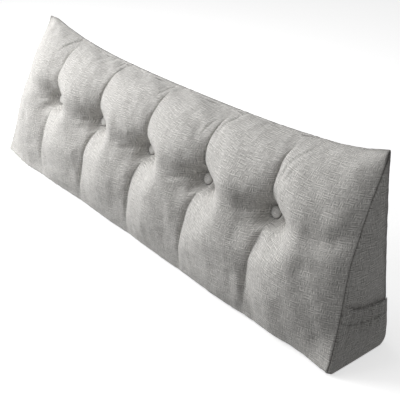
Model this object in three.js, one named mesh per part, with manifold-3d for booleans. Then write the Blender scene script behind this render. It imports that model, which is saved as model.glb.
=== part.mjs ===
// Backrest pillow for a bed or sofa: a long wedge-shaped cushion, filled and sewn shut, with a
// tufted front, five cloth-covered buttons and an elastic-topped pocket on its right end.
// Millimetres, +Z up. The front faces -Y, the right end +X, and the floor is Z = 0.
// Depths below are measured forward from the upright plane that the back leans against.

import * as THREE from 'three';
import { mergeVertices } from 'three/addons/utils/BufferGeometryUtils.js';
import Module from 'manifold-3d';

const wasm = await Module();
wasm.setup();

// Length of the cushion, whose end seams lean in towards the top; the left end is also drawn in
// around a fraction of its height
const BASE_HALF_LENGTH = 770;
const END_LEAN = 33;
const LEFT_DRAW_IN = 13;
const LEFT_DRAW_HEIGHT = 0.56;
const LEFT_DRAW_REACH = 0.14;
const GUSSET_CROWN = 5;
const BASE_MIDDLE_DEPTH = 112;

// The row of buttons, and how far their pull on the cloth reaches: further along the row on their
// right side, where the dimple is longer too, and fading out about the middle of a lobe
const LAST_BUTTON_X = 500;
const BUTTON_PITCH = 250;
const DIMPLE_FLOOR_RADIUS = 15;
const LEFT_SIDE = { reach: 27, fadeStart: 30, fadeEnd: 135 };
const RIGHT_SIDE = { stretch: 2.4, reach: 46, fadeStart: 62, fadeEnd: 142 };
const SIDE_TURN_START = -10;
const SIDE_TURN_END = 30;

// The cloth that a button holds down: a level place as deep as the button's back, a bit longer on
// its right, with a bank around it that grows steeper outwards
const HELD_RADIUS = 16;
const HELD_STRETCH = 1.7;
const HELD_TURN_START = -5;
const HELD_TURN_END = 10;
const HELD_EDGE = 12;
const HELD_BITE = 1;
const BANK_SLOPE = 1.2;
const BANK_CURVE = 0.06;
const BANK_BLEND = 3;

// The waist between the buttons: its depth on a crown and in a channel, how much of it an end
// lobe has, and its place and reach in fractions of the local height, with the foot's reach
const WAIST_DEPTH = 9;
const CHANNEL_WAIST = 12;
const END_WAIST = 0.5;
const END_WAIST_PLACE = 0.5;
const BUTTON_ROW_HEIGHT = 0.607;
const WAIST_REACH = 0.1;
const FOOT_REACH = 0.08;

// Where a lobe between two buttons turns from its rise to its fall, as fractions of its length
const LOBE_TURN_START = 0.3;
const LOBE_TURN_END = 0.7;

// The end lobes: the crown's place between the channel and the end seam, how full the lobe is, how
// much softer than the others it leaves the channel, and how softly it falls to the seam
const LEFT_END = { crownPlace: 0.46, swell: 0.66, softening: 0.3, fall: 1.6 };
const RIGHT_END = { crownPlace: 0.4, swell: 0.82, softening: 0.2, fall: 0.62 };

// Height of the top edge along the cushion: low in the middle, rising to an ear at each end
const TOP_EDGE = [
  { along: -770, top: 478 },
  { along: -735, top: 483 },
  { along: -712, top: 483 },
  { along: -690, top: 481 },
  { along: -668, top: 475 },
  { along: -640, top: 467 },
  { along: -600, top: 458 },
  { along: -525, top: 444 },
  { along: -440, top: 434 },
  { along: -330, top: 426 },
  { along: -150, top: 421 },
  { along: 150, top: 421 },
  { along: 360, top: 426 },
  { along: 460, top: 432 },
  { along: 540, top: 438 },
  { along: 610, top: 447 },
  { along: 670, top: 460 },
  { along: 715, top: 474 },
  { along: 745, top: 482 },
  { along: 770, top: 484 },
];

// How far the foot of the front stands out or is tucked in along the cushion: fuller at the left
// end, drawn in beside the right corner, which sticks out like a small dog-ear
const FOOT_EDGE = [
  { along: -770, foot: -2 },
  { along: -620, foot: 12 },
  { along: -500, foot: 9 },
  { along: -380, foot: 4 },
  { along: -120, foot: 0 },
  { along: 420, foot: 0 },
  { along: 560, foot: -3 },
  { along: 680, foot: -10 },
  { along: 735, foot: -2 },
  { along: 770, foot: 2 },
];

// Depth of the front cloth at fractions of the local height: at the end seams and on the crown
// of a lobe. channel is how far the tufting draws the cloth in between two lobes, and rise and
// fall how softly a lobe meets the channel on its left and on its right: below 1 in a sharp fold.
const FRONT = [
  { up: 0, seam: 194, crown: 197, channel: 1, rise: 1, fall: 1 },
  { up: 0.012, seam: 207, crown: 210, channel: 2, rise: 1, fall: 1 },
  { up: 0.06, seam: 201, crown: 221, channel: 6, rise: 1, fall: 0.9 },
  { up: 0.16, seam: 187, crown: 232, channel: 14, rise: 0.92, fall: 0.8 },
  { up: 0.3, seam: 170, crown: 238, channel: 25, rise: 0.8, fall: 0.68 },
  { up: 0.42, seam: 158, crown: 234, channel: 32, rise: 0.76, fall: 0.6 },
  { up: 0.52, seam: 145, crown: 222, channel: 35, rise: 0.74, fall: 0.56 },
  { up: 0.61, seam: 126, crown: 207, channel: 36, rise: 0.74, fall: 0.52 },
  { up: 0.7, seam: 107, crown: 193, channel: 37, rise: 0.68, fall: 0.5 },
  { up: 0.78, seam: 88, crown: 175, channel: 36, rise: 0.6, fall: 0.5 },
  { up: 0.85, seam: 69, crown: 153, channel: 33, rise: 0.54, fall: 0.5 },
  { up: 0.91, seam: 53, crown: 126, channel: 27, rise: 0.5, fall: 0.5 },
  { up: 0.955, seam: 43, crown: 97, channel: 19, rise: 0.5, fall: 0.5 },
  { up: 0.985, seam: 38, crown: 64, channel: 10, rise: 0.6, fall: 0.6 },
  { up: 1, seam: 36, crown: 34, channel: 3, rise: 1, fall: 1 },
];

// How much fuller than the crown above each lobe between two buttons is, in its upper half
const LOBE_EXTRA = [8, 0, 8, 8];
const EXTRA_HEIGHT = 0.8;
const EXTRA_REACH = 0.14;

// Depth of the back cloth: at the end seams, which lean forward, and along the full middle
const BACK = [
  { up: 0, seam: 34, middle: 34 },
  { up: 0.02, seam: 17, middle: 10 },
  { up: 0.08, seam: 9, middle: 0 },
  { up: 0.22, seam: 14, middle: -5 },
  { up: 0.4, seam: 21, middle: -7 },
  { up: 0.6, seam: 27, middle: -8 },
  { up: 0.8, seam: 31, middle: -7 },
  { up: 0.92, seam: 33, middle: -3 },
  { up: 0.98, seam: 32, middle: 6 },
  { up: 1, seam: 31, middle: 16 },
];
const BACK_DRAW_POWER = 5;

// The five buttons: place along the cushion, height, depth of the dome's tip, how far each draws
// the cloth in, and how much longer than high its dimple is on the left
const BUTTONS = [
  { name: 'button_1', along: -2 * BUTTON_PITCH, height: 263, depth: 136, pull: 34, stretch: 1.1 },
  { name: 'button_2', along: -BUTTON_PITCH, height: 262, depth: 131, pull: 38, stretch: 1.5 },
  { name: 'button_3', along: 0, height: 254, depth: 129, pull: 40, stretch: 1.6 },
  { name: 'button_4', along: BUTTON_PITCH, height: 257, depth: 130, pull: 40, stretch: 1.6 },
  { name: 'button_5', along: 2 * BUTTON_PITCH, height: 264, depth: 128, pull: 42, stretch: 1.6 },
];
const BUTTON_RADIUS = 15;
const BUTTON_RIM = 3;
const BUTTON_BACK_INSET = 1.2;
const BUTTON_HEIGHT = 11;
const BUTTON_TILT = THREE.MathUtils.degToRad(23);
const BUTTON_SIDES = 28;
const DOME_STEPS = 5;
const SEAT_GAP = 0.3;
const SEAT_CLEARANCE = 0.6;
const SEAT_REACH = 45;

// The pocket on the right end: mouth height from the front seam to the back seam
const POCKET_MOUTH = [
  { across: 0, height: 156 },
  { across: 0.18, height: 142 },
  { across: 0.5, height: 130 },
  { across: 0.75, height: 126 },
  { across: 1, height: 122 },
];
const POCKET_THICKNESS = 2.4;
const POCKET_HEM_HEIGHT = 3;
const POCKET_SEAM_INSET = 3;
const POCKET_SEAM_GAP = 0.4;
const POCKET_BAG = 15;
const GATHER_DEPTH = 1.5;
const GATHER_COUNT = 9;
const CASING_HEIGHT = 38;

// Grid of the cushion: places of the cross-sections within one lobe and within an end lobe,
// as fractions, close together beside a channel
const LOBE_STATIONS = [0, 0.045, 0.11, 0.2, 0.34, 0.5, 0.66, 0.8, 0.89, 0.955];
const END_STATIONS = [0, 0.045, 0.11, 0.2, 0.33, 0.47, 0.6, 0.72, 0.83, 0.92, 0.975, 1];
const FRONT_ROWS = 22;
const DEPTH_COLUMNS = 4;
const POCKET_COLUMNS = 40;
const POCKET_ROWS = 11;
const WELD_DISTANCE = 1e-4;

const clothColor = new THREE.Color(0.6, 0.59, 0.57);
const clothMaterial = () => new THREE.MeshStandardMaterial({
  color: clothColor,
  roughness: 0.92,
  metalness: 0,
});

// A smooth curve through one column of a table
function curveOf(table, position, value) {
  const places = table.map((row) => row[position]);
  const values = table.map((row) => row[value]);
  const interpolant = new THREE.CubicInterpolant(places, values, 1);
  const last = places[places.length - 1];
  return (place) => interpolant.evaluate(THREE.MathUtils.clamp(place, places[0], last))[0];
}

const topEdge = curveOf(TOP_EDGE, 'along', 'top');
const footEdge = curveOf(FOOT_EDGE, 'along', 'foot');
const frontSeam = curveOf(FRONT, 'up', 'seam');
const frontCrown = curveOf(FRONT, 'up', 'crown');
const channelDepth = curveOf(FRONT, 'up', 'channel');
const lobeRise = curveOf(FRONT, 'up', 'rise');
const lobeFall = curveOf(FRONT, 'up', 'fall');
const backSeam = curveOf(BACK, 'up', 'seam');
const backMiddle = curveOf(BACK, 'up', 'middle');
const pocketMouth = curveOf(POCKET_MOUTH, 'across', 'height');

const LOBES = 2 * LAST_BUTTON_X / BUTTON_PITCH;

// Where the end seam stands at a fraction of the height
const endSeam = (up) => BASE_HALF_LENGTH - END_LEAN * up;

// How full a lobe is between two channels: 0 in a channel, 1 on the crown
function fullness(across, up) {
  const turn = THREE.MathUtils.smoothstep(across, LOBE_TURN_START, LOBE_TURN_END);
  return Math.sin(Math.PI * across) ** THREE.MathUtils.lerp(lobeRise(up), lobeFall(up), turn);
}

// How full an end lobe is between its channel and the end seam, where it drops off
function endFullness(across, softness, end) {
  if (across < end.crownPlace) {
    return Math.sin(Math.PI / 2 * across / end.crownPlace) ** (softness + end.softening);
  }
  const past = (across - end.crownPlace) / (1 - end.crownPlace);
  return Math.max(Math.cos(Math.PI / 2 * past), 0) ** end.fall;
}

// How far the left end is drawn in beside its button
const leftDrawIn = (up) => (
  LEFT_DRAW_IN * Math.exp(-(((up - LEFT_DRAW_HEIGHT) / LEFT_DRAW_REACH) ** 2))
);

// How much the buttons draw the cloth in around them
function dimple(x, z) {
  const { lerp, smoothstep } = THREE.MathUtils;
  let drawn = 0;
  for (const button of BUTTONS) {
    const sideways = x - button.along;
    const right = smoothstep(sideways, SIDE_TURN_START, SIDE_TURN_END);
    const reach = lerp(LEFT_SIDE.reach, RIGHT_SIDE.reach, right);
    const fadeStart = lerp(LEFT_SIDE.fadeStart, RIGHT_SIDE.fadeStart, right);
    const fadeEnd = lerp(LEFT_SIDE.fadeEnd, RIGHT_SIDE.fadeEnd, right);
    const fade = 1 - smoothstep(Math.abs(sideways), fadeStart, fadeEnd);
    const stretch = lerp(button.stretch, RIGHT_SIDE.stretch, right);
    const past = Math.hypot(sideways / stretch, z - button.height) - DIMPLE_FLOOR_RADIUS;
    drawn = Math.max(drawn, button.pull * fade * Math.exp(-Math.max(past, 0) / reach));
  }
  return drawn;
}

// The depth of the front where the buttons hold it down
function heldDown(front, x, z) {
  const { lerp, smoothstep } = THREE.MathUtils;
  let depth = front;
  for (const button of BUTTONS) {
    const sideways = x - button.along;
    const stretch = lerp(1, HELD_STRETCH, smoothstep(sideways, HELD_TURN_START, HELD_TURN_END));
    const out = Math.hypot(sideways / stretch, z - button.height);
    const past = Math.max(out - HELD_RADIUS, 0);
    const floor = button.depth - BUTTON_HEIGHT + HELD_BITE;
    const bank = floor + BANK_SLOPE * past + BANK_CURVE * past ** 2;
    const share = Math.exp((depth - bank) / BANK_BLEND);
    const held = depth - BANK_BLEND * Math.log1p(share);
    depth = lerp(floor, held, smoothstep(past, 0, HELD_EDGE));
  }
  return depth;
}

// Depth of the tufted front cloth. lobe is the place along the row of lobes, from -1 to LOBES + 1,
// with an end lobe before 0 and after LOBES
function frontDepth(lobe, up) {
  const { lerp, smoothstep } = THREE.MathUtils;
  const across = lobe < 0 ? -lobe : Math.max(lobe - LOBES, 0);
  const atWaist = Math.exp(-(((up - BUTTON_ROW_HEIGHT) / WAIST_REACH) ** 2));
  const waist = WAIST_DEPTH * lerp(1, END_WAIST, smoothstep(across, 0, END_WAIST_PLACE));
  const crown = frontCrown(up) - waist * atWaist;
  const channel = frontCrown(up) - CHANNEL_WAIST * atWaist - channelDepth(up);
  if (lobe >= 0 && lobe <= LOBES) {
    const index = Math.min(Math.floor(lobe), LOBES - 1);
    const extra = LOBE_EXTRA[index] * Math.exp(-(((up - EXTRA_HEIGHT) / EXTRA_REACH) ** 2));
    return lerp(channel, crown + extra, fullness(lobe - index, up));
  }
  const seam = frontSeam(up);
  const straight = lerp(channel, seam, across);
  const end = lobe < 0 ? LEFT_END : RIGHT_END;
  const swell = end.swell * (crown - (channel + seam) / 2);
  return straight + swell * endFullness(across, lobe < 0 ? lobeFall(up) : lobeRise(up), end);
}

// Distance along the cushion of a place in the row of lobes
function alongOf(lobe, up) {
  if (lobe >= 0 && lobe <= LOBES) return lobe * BUTTON_PITCH - LAST_BUTTON_X;
  const across = lobe < 0 ? -lobe : lobe - LOBES;
  const drawnIn = lobe < 0 ? leftDrawIn(up) : 0;
  const reach = THREE.MathUtils.lerp(LAST_BUTTON_X, endSeam(up) - drawnIn, across);
  return lobe < 0 ? -reach : reach;
}

// The back cloth is fullest in the middle and drawn in at the end seams
function backDepth(x, up) {
  const drawnIn = (Math.abs(x) / endSeam(up)) ** BACK_DRAW_POWER;
  return THREE.MathUtils.lerp(backMiddle(up), backSeam(up), drawnIn);
}

// How far an end gusset bows out, across its depth and up its height
function gussetBow(across, up) {
  return GUSSET_CROWN * Math.sin(Math.PI * across) * Math.sqrt(Math.sin(Math.PI * up));
}

// Places of the cross-sections along the row of lobes, from the left end to the right end
function lobeStations() {
  const left = END_STATIONS.map((station) => -station).reverse();
  const right = END_STATIONS.map((station) => LOBES + station);
  const inner = [];
  for (let lobe = 0; lobe < LOBES; lobe += 1) {
    for (const station of LOBE_STATIONS) inner.push(lobe + station);
  }
  return [...left, ...inner.slice(1), ...right];
}

// The same shape with only its positions, its shared points merged so that it is one closed skin
function welded(geometry) {
  geometry.deleteAttribute('normal');
  geometry.deleteAttribute('uv');
  return mergeVertices(geometry, WELD_DISTANCE);
}

// A unit box of nx * ny * nz cells whose points are moved by place(i, j, k), welded shut
function mappedBox(nx, ny, nz, place) {
  const geometry = new THREE.BoxGeometry(1, 1, 1, nx, ny, nz);
  const position = geometry.attributes.position;
  const point = new THREE.Vector3();
  for (let index = 0; index < position.count; index += 1) {
    point.fromBufferAttribute(position, index).addScalar(0.5);
    place(Math.round(point.x * nx), Math.round(point.y * ny), Math.round(point.z * nz), point);
    position.setXYZ(index, point.x, point.y, point.z);
  }
  return welded(geometry);
}

// Fractions of the height that lie close together at the floor and at the top edge
const rowHeight = (row) => (1 - Math.cos(Math.PI * row / FRONT_ROWS)) / 2;

// The filled cushion before its button seats are cut
function cushionShell() {
  const stations = lobeStations();
  const last = stations.length - 1;
  return mappedBox(last, DEPTH_COLUMNS, FRONT_ROWS, (i, j, k, point) => {
    const lobe = stations[i];
    const up = rowHeight(k);
    const across = j / DEPTH_COLUMNS;
    const x = alongOf(lobe, up);
    const z = up * topEdge(x);
    const foot = footEdge(x) * Math.exp(-up / FOOT_REACH);
    const front = heldDown(frontDepth(lobe, up) + foot - dimple(x, z), x, z);
    const depth = THREE.MathUtils.lerp(front, backDepth(x, up), across);
    const atEnd = i === 0 || i === last;
    const bow = atEnd ? Math.sign(x) * gussetBow(across, up) : 0;
    point.set(x + bow, BASE_MIDDLE_DEPTH - depth, z);
  });
}

// Direction in which the buttons face: forward, and up by their tilt
const buttonFacing = new THREE.Vector3(0, -Math.cos(BUTTON_TILT), Math.sin(BUTTON_TILT));

const buttonTip = (button) => new THREE.Vector3(
  button.along,
  BASE_MIDDLE_DEPTH - button.depth,
  button.height,
);

// A domed button of two pressed shells in cloth, standing on its flat back, axis along +Y
function buttonGeometry() {
  const dome = BUTTON_HEIGHT - BUTTON_RIM;
  const backRadius = BUTTON_RADIUS - BUTTON_BACK_INSET;
  const profile = [new THREE.Vector2(0, 0), new THREE.Vector2(backRadius, 0)];
  for (let step = 0; step <= DOME_STEPS; step += 1) {
    const angle = Math.PI / 2 * step / DOME_STEPS;
    const radius = step === DOME_STEPS ? 0 : BUTTON_RADIUS * Math.cos(angle);
    profile.push(new THREE.Vector2(radius, BUTTON_RIM + dome * Math.sin(angle)));
  }
  return welded(new THREE.LatheGeometry(profile, BUTTON_SIDES));
}

// The space that a button takes out of the cushion, open to the front
function buttonSeat(button) {
  const radius = BUTTON_RADIUS + SEAT_CLEARANCE;
  const geometry = new THREE.CylinderGeometry(radius, radius, SEAT_REACH, BUTTON_SIDES);
  const middle = SEAT_REACH / 2 - BUTTON_HEIGHT - SEAT_GAP;
  const centre = buttonTip(button).addScaledVector(buttonFacing, middle);
  geometry.rotateX(Math.PI - BUTTON_TILT);
  geometry.translate(centre.x, centre.y, centre.z);
  return welded(geometry);
}

function solidOf(geometry) {
  return new wasm.Manifold(new wasm.Mesh({
    numProp: 3,
    vertProperties: new Float32Array(geometry.attributes.position.array),
    triVerts: new Uint32Array(geometry.index.array),
  }));
}

function geometryOf(solid) {
  const mesh = solid.getMesh();
  const geometry = new THREE.BufferGeometry();
  geometry.setAttribute('position', new THREE.BufferAttribute(mesh.vertProperties, 3));
  geometry.setIndex(new THREE.BufferAttribute(mesh.triVerts, 1));
  return geometry;
}

function cushionGeometry() {
  let cushion = solidOf(cushionShell());
  for (const button of BUTTONS) cushion = cushion.subtract(solidOf(buttonSeat(button)));
  return geometryOf(cushion);
}

// The pocket: one cloth sewn to the gusset at its sides and its foot, standing open at the
// mouth, where the elastic in the casing gathers it
function pocketGeometry() {
  return mappedBox(1, POCKET_COLUMNS, POCKET_ROWS, (i, j, k, point) => {
    const across = j / POCKET_COLUMNS;
    const rise = k / POCKET_ROWS;
    const mouth = pocketMouth(across);
    const z = THREE.MathUtils.lerp(POCKET_HEM_HEIGHT, mouth, rise);
    const up = z / topEdge(BASE_HALF_LENGTH);
    const front = frontSeam(up) - POCKET_SEAM_INSET;
    const back = backSeam(up) + POCKET_SEAM_INSET;
    const depth = THREE.MathUtils.lerp(front, back, across);
    const gussetAcross = (frontSeam(up) - depth) / (frontSeam(up) - backSeam(up));
    const gusset = endSeam(up) + gussetBow(gussetAcross, up);
    const bag = POCKET_BAG * Math.sqrt(Math.sin(Math.PI * across)) * rise;
    const inCasing = Math.exp(-(((mouth - z) / CASING_HEIGHT) ** 2));
    const gather = GATHER_DEPTH * Math.sin(2 * Math.PI * GATHER_COUNT * across) * inCasing;
    const open = bag + gather * Math.sin(Math.PI * across) * rise;
    const layer = i * POCKET_THICKNESS;
    point.set(gusset + POCKET_SEAM_GAP + open + layer, BASE_MIDDLE_DEPTH - depth, z);
  });
}

function named(name, geometry) {
  const mesh = new THREE.Mesh(geometry, clothMaterial());
  mesh.name = name;
  return mesh;
}

const pillow = new THREE.Group();
pillow.add(named('cushion', cushionGeometry()));
pillow.add(named('side_pocket', pocketGeometry()));
for (const button of BUTTONS) {
  const mesh = named(button.name, buttonGeometry());
  mesh.rotation.x = Math.PI - BUTTON_TILT;
  mesh.position.copy(buttonTip(button)).addScaledVector(buttonFacing, -BUTTON_HEIGHT);
  pillow.add(mesh);
}

export default pillow;
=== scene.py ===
import math

import bpy
import numpy as np
from mathutils import Matrix, Vector


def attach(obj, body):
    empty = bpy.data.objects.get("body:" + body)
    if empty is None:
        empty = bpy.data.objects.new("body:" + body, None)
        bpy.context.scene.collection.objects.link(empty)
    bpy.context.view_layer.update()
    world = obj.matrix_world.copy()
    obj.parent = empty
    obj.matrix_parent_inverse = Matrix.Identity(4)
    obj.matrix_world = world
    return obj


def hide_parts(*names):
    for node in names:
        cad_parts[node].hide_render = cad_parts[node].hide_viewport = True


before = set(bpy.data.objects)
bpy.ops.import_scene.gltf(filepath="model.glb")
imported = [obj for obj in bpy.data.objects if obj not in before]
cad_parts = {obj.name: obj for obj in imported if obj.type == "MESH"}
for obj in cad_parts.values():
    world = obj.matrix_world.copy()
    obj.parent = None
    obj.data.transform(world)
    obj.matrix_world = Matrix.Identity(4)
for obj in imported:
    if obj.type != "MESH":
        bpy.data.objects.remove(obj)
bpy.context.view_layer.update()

# A long wedge-shaped backrest pillow: linen-look cover over soft filling, tufted with five covered
# buttons, and an elastic-topped pocket sewn to its right end. Sizes are in millimetres until a
# mesh is made. The front faces -Y, the right end +X, and depths are measured forward from the back.
MM = 0.001

# The cover: half its length at the base, how far its ends lean in towards the top, how far the
# gussets bulge, and where the middle of its depth lies
BASE_HALF_LENGTH = 770
END_LEAN = 33
GUSSET_CROWN = 5
BASE_MIDDLE_DEPTH = 112
BACK_DRAW_POWER = 5
TOP_CROWN = 3
FOOT_REACH = 0.08

# The lobes between the buttons, and the two beyond the end buttons
LAST_BUTTON_X = 500
BUTTON_PITCH = 250
LOBES = 4
LOBE_EXTRA = [8, 0, 8, 8]
EXTRA_HEIGHT = 0.8
EXTRA_REACH = 0.14

# How the end lobes swell: the place of the crown from button to seam, how much they swell, how
# much softer they rise, and how steeply they fall to the end seam
LEFT_CROWN_PLACE = 0.46
RIGHT_CROWN_PLACE = 0.4
LEFT_SWELL = 0.66
RIGHT_SWELL = 0.82
LEFT_END_SOFTENING = 0.3
RIGHT_END_SOFTENING = 0.2
LEFT_END_FALL = 1.6
RIGHT_END_FALL = 0.62

# The left end seam is drawn in beside its button, around a fraction of the height
LEFT_DRAW_IN = 13
LEFT_DRAW_HEIGHT = 0.56
LEFT_DRAW_REACH = 0.14

# The waist that the row of buttons draws along the front, on the lobes and in the channels
BUTTON_ROW_HEIGHT = 0.607
WAIST_REACH = 0.1
WAIST_DEPTH = 9
END_WAIST = 0.5
CHANNEL_WAIST = 12

# The dimple around each button reaches farther on its right than on its left
DIMPLE_FLOOR_RADIUS = 15
DIMPLE_REACH = 27
DIMPLE_FADE = (30, 135)
RIGHT_DIMPLE_REACH = 46
RIGHT_DIMPLE_STRETCH = 2.4
RIGHT_DIMPLE_FADE = (62, 142)
RIGHT_DIMPLE_TURN = (-10, 30)

# The seat that holds the cloth down under each button, longer on the right
SEAT_RADIUS = 16
SEAT_SLOPE = 1.2
SEAT_CURVE = 0.06
SEAT_STRETCH = 2.2
SEAT_TURN = (-5, 10)
SEAT_BLEND = 3
SEAT_EDGE = 12
SEAT_BITE = 1

# Height of the top edge along the cushion, with an ear at each end
TOP_EDGE = {
    "along": [-770, -735, -712, -690, -668, -640, -600, -525, -440, -330, -150,
              150, 360, 460, 540, 610, 670, 715, 745, 770],
    "top": [478, 483, 483, 481, 475, 467, 458, 444, 434, 426, 421,
            421, 426, 432, 438, 447, 460, 474, 482, 484],
}

# How far the foot of the front stands out along the cushion
FOOT_EDGE = {
    "along": [-770, -620, -500, -380, -120, 420, 560, 680, 735, 770],
    "foot": [-2, 12, 9, 4, 0, 0, -3, -10, -2, 2],
}

# Depth of the front cloth by fractions of the height: at the end seams, on a lobe's crown, how
# far the tufting draws a channel in, and how softly a lobe rises from the channel on its left
# and falls to the one on its right
FRONT = {
    "up": [0, 0.012, 0.06, 0.16, 0.3, 0.42, 0.52, 0.61, 0.7, 0.78, 0.85, 0.91, 0.955, 0.985, 1],
    "seam": [194, 207, 201, 187, 170, 158, 145, 126, 107, 88, 69, 53, 43, 38, 36],
    "crown": [197, 210, 221, 232, 238, 234, 222, 207, 193, 175, 153, 126, 97, 64, 34],
    "channel": [1, 2, 6, 14, 25, 32, 35, 36, 37, 36, 33, 27, 19, 10, 3],
    "rise": [1, 1, 1, 0.92, 0.8, 0.76, 0.74, 0.74, 0.68, 0.6, 0.54, 0.5, 0.5, 0.6, 1],
    "fall": [1, 1, 0.9, 0.8, 0.68, 0.6, 0.56, 0.52, 0.5, 0.5, 0.5, 0.5, 0.5, 0.6, 1],
}

# Depth of the back cloth by fractions of the height
BACK = {
    "up": [0, 0.02, 0.08, 0.22, 0.4, 0.6, 0.8, 0.92, 0.98, 1],
    "seam": [34, 17, 9, 14, 21, 27, 31, 33, 32, 31],
    "middle": [34, 10, 0, -5, -7, -8, -7, -3, 6, 16],
}

# The buttons: place along the cushion, height, depth of the dome's tip, how far each draws the
# cloth in, and how much longer than high its dimple is on the left
BUTTONS = {
    "along": [-500, -250, 0, 250, 500],
    "height": [263, 262, 254, 257, 264],
    "depth": [136, 131, 129, 130, 128],
    "pull": [34, 38, 40, 40, 42],
    "left_stretch": [1.1, 1.5, 1.6, 1.6, 1.6],
}
BUTTON_RADIUS = 15
BUTTON_HEIGHT = 11
BUTTON_TILT = math.radians(23)

# The pocket: mouth height from the front seam to the back seam, then its foot, its inset from the
# seams, how far the middle of its cloth stands off the gusset, how far it bags, and its gathers
POCKET_MOUTH = {
    "across": [0, 0.18, 0.5, 0.75, 1],
    "height": [156, 146, 138, 131, 123],
}
POCKET_FOOT = 3
POCKET_SEAM_INSET = 3
POCKET_STAND = 1.4
POCKET_BAG = 10
CASING_HEIGHT = 38
CASING_PINCH = 1.8
GATHER_COUNT = 10.5
GATHER_DEPTH = 3.4
MOUTH_SCALLOP = 2.0
STITCH_PITCH = 0.0042

# Folds that the tufting pulls into the front: the button that each one runs from, its way in
# degrees from the pillow's right, anticlockwise, then its length, depth, width and bend
PLEATS = {
    "button": [0, 0, 0, 1, 1, 1, 2, 2, 2, 2, 3, 3, 3, 3, 4, 4, 4, 4],
    "way": [180, 160, 205, 179, 158, 203, 180, 166, 150, 200, 181, 167, 148, 202, 179, 163, 147, 206],
    "length": [80, 65, 50, 90, 70, 55, 100, 90, 70, 60, 110, 95, 75, 60, 95, 75, 60, 55],
    "depth": [3.6, 1.8, 1.4, 3.8, 1.8, 1.4, 4.6, 2.2, 1.7, 1.4, 4.6, 2.4, 1.7, 1.4, 3.8, 2.0, 1.5, 1.4],
    "width": [5, 4, 4, 5, 4, 4, 5, 4, 4, 4, 5, 4, 4, 4, 5, 4, 4, 4],
    "bend": [0.001, 0.002, -0.001, 0.001, 0.002, -0.001, 0.001, 0.001, 0.002, -0.001,
             0.001, 0.001, 0.002, -0.001, 0.001, 0.001, 0.002, -0.001],
}

# Creases where the cover is pulled over the top edge: each from one place on the front to
# another, how far it bows to its left on the way, and how deep and wide it is
CREASES = {
    "along": [-604, -608, -548, -350, -272, -22, 222, 262, 522, 540],
    "height": [466, 451, 410, 402, 412, 396, 372, 380, 362, 352],
    "to_along": [-702, -694, -516, -300, -258, -8, 236, 290, 562, 592],
    "to_height": [440, 413, 444, 432, 437, 428, 410, 428, 434, 436],
    "bow": [-13, -12, 5, 5, 3, 3, 4, 6, 8, 10],
    "depth": [2.2, 1.4, 2.4, 1.8, 1.6, 1.6, 1.8, 2.2, 2.4, 1.6],
    "width": [3.5, 3, 3, 3, 3, 3, 3, 3, 3, 3],
}


def curve_of(table, position, value):
    """A smooth curve through one column of a table, leaving each point at the mean of its chords."""
    places = np.array(table[position], float)
    values = np.array(table[value], float)
    chords = np.diff(values) / np.diff(places)
    slopes = np.concatenate([chords[:1], (chords[:-1] + chords[1:]) / 2, chords[-1:]])

    def at(place):
        place = np.clip(place, places[0], places[-1])
        i = np.clip(np.searchsorted(places, place, side="right") - 1, 0, len(places) - 2)
        step = places[i + 1] - places[i]
        t = (place - places[i]) / step
        leave = (1 + 2 * t) * (1 - t) ** 2 * values[i] + t * (1 - t) ** 2 * step * slopes[i]
        arrive = t * t * (3 - 2 * t) * values[i + 1] - t * t * (1 - t) * step * slopes[i + 1]
        return leave + arrive

    return at


top_edge = curve_of(TOP_EDGE, "along", "top")
foot_edge = curve_of(FOOT_EDGE, "along", "foot")
front_seam = curve_of(FRONT, "up", "seam")
front_crown = curve_of(FRONT, "up", "crown")
channel_depth = curve_of(FRONT, "up", "channel")
lobe_rise = curve_of(FRONT, "up", "rise")
lobe_fall = curve_of(FRONT, "up", "fall")
back_seam = curve_of(BACK, "up", "seam")
back_middle = curve_of(BACK, "up", "middle")
pocket_mouth = curve_of(POCKET_MOUTH, "across", "height")


def end_seam(up):
    return BASE_HALF_LENGTH - END_LEAN * up


def left_draw_in(up):
    return LEFT_DRAW_IN * np.exp(-(((up - LEFT_DRAW_HEIGHT) / LEFT_DRAW_REACH) ** 2))


def mix(a, b, share):
    return a + (b - a) * share


def bell(distance, width):
    return np.exp(-((distance / width) ** 2))


def ease(start, end, value):
    """0 before start, 1 after end, smooth between."""
    t = np.clip((value - start) / (end - start), 0, 1)
    return t * t * (3 - 2 * t)


def end_fullness(across, crown_place, softness, fall):
    """How full an end lobe is: 0 at its button and its seam, 1 on its crown."""
    rising = np.sin(np.pi / 2 * np.clip(across / crown_place, 0, 1)) ** softness
    past = np.clip((across - crown_place) / (1 - crown_place), 0, 1)
    falling = np.cos(np.pi / 2 * past).clip(0, 1) ** fall
    return np.where(across < crown_place, rising, falling)


def dimple(x, z):
    """How much the buttons draw the cloth in around them."""
    drawn = np.zeros_like(x)
    for along, height, _, pull, left_stretch in zip(*BUTTONS.values()):
        sideways = x - along
        right = ease(*RIGHT_DIMPLE_TURN, sideways)
        reach = mix(DIMPLE_REACH, RIGHT_DIMPLE_REACH, right)
        fade = 1 - ease(mix(DIMPLE_FADE[0], RIGHT_DIMPLE_FADE[0], right),
                        mix(DIMPLE_FADE[1], RIGHT_DIMPLE_FADE[1], right), np.abs(sideways))
        stretch = mix(left_stretch, RIGHT_DIMPLE_STRETCH, right)
        past = np.hypot(sideways / stretch, z - height) - DIMPLE_FLOOR_RADIUS
        drawn = np.maximum(drawn, pull * fade * np.exp(-np.maximum(past, 0) / reach))
    return drawn


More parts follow.
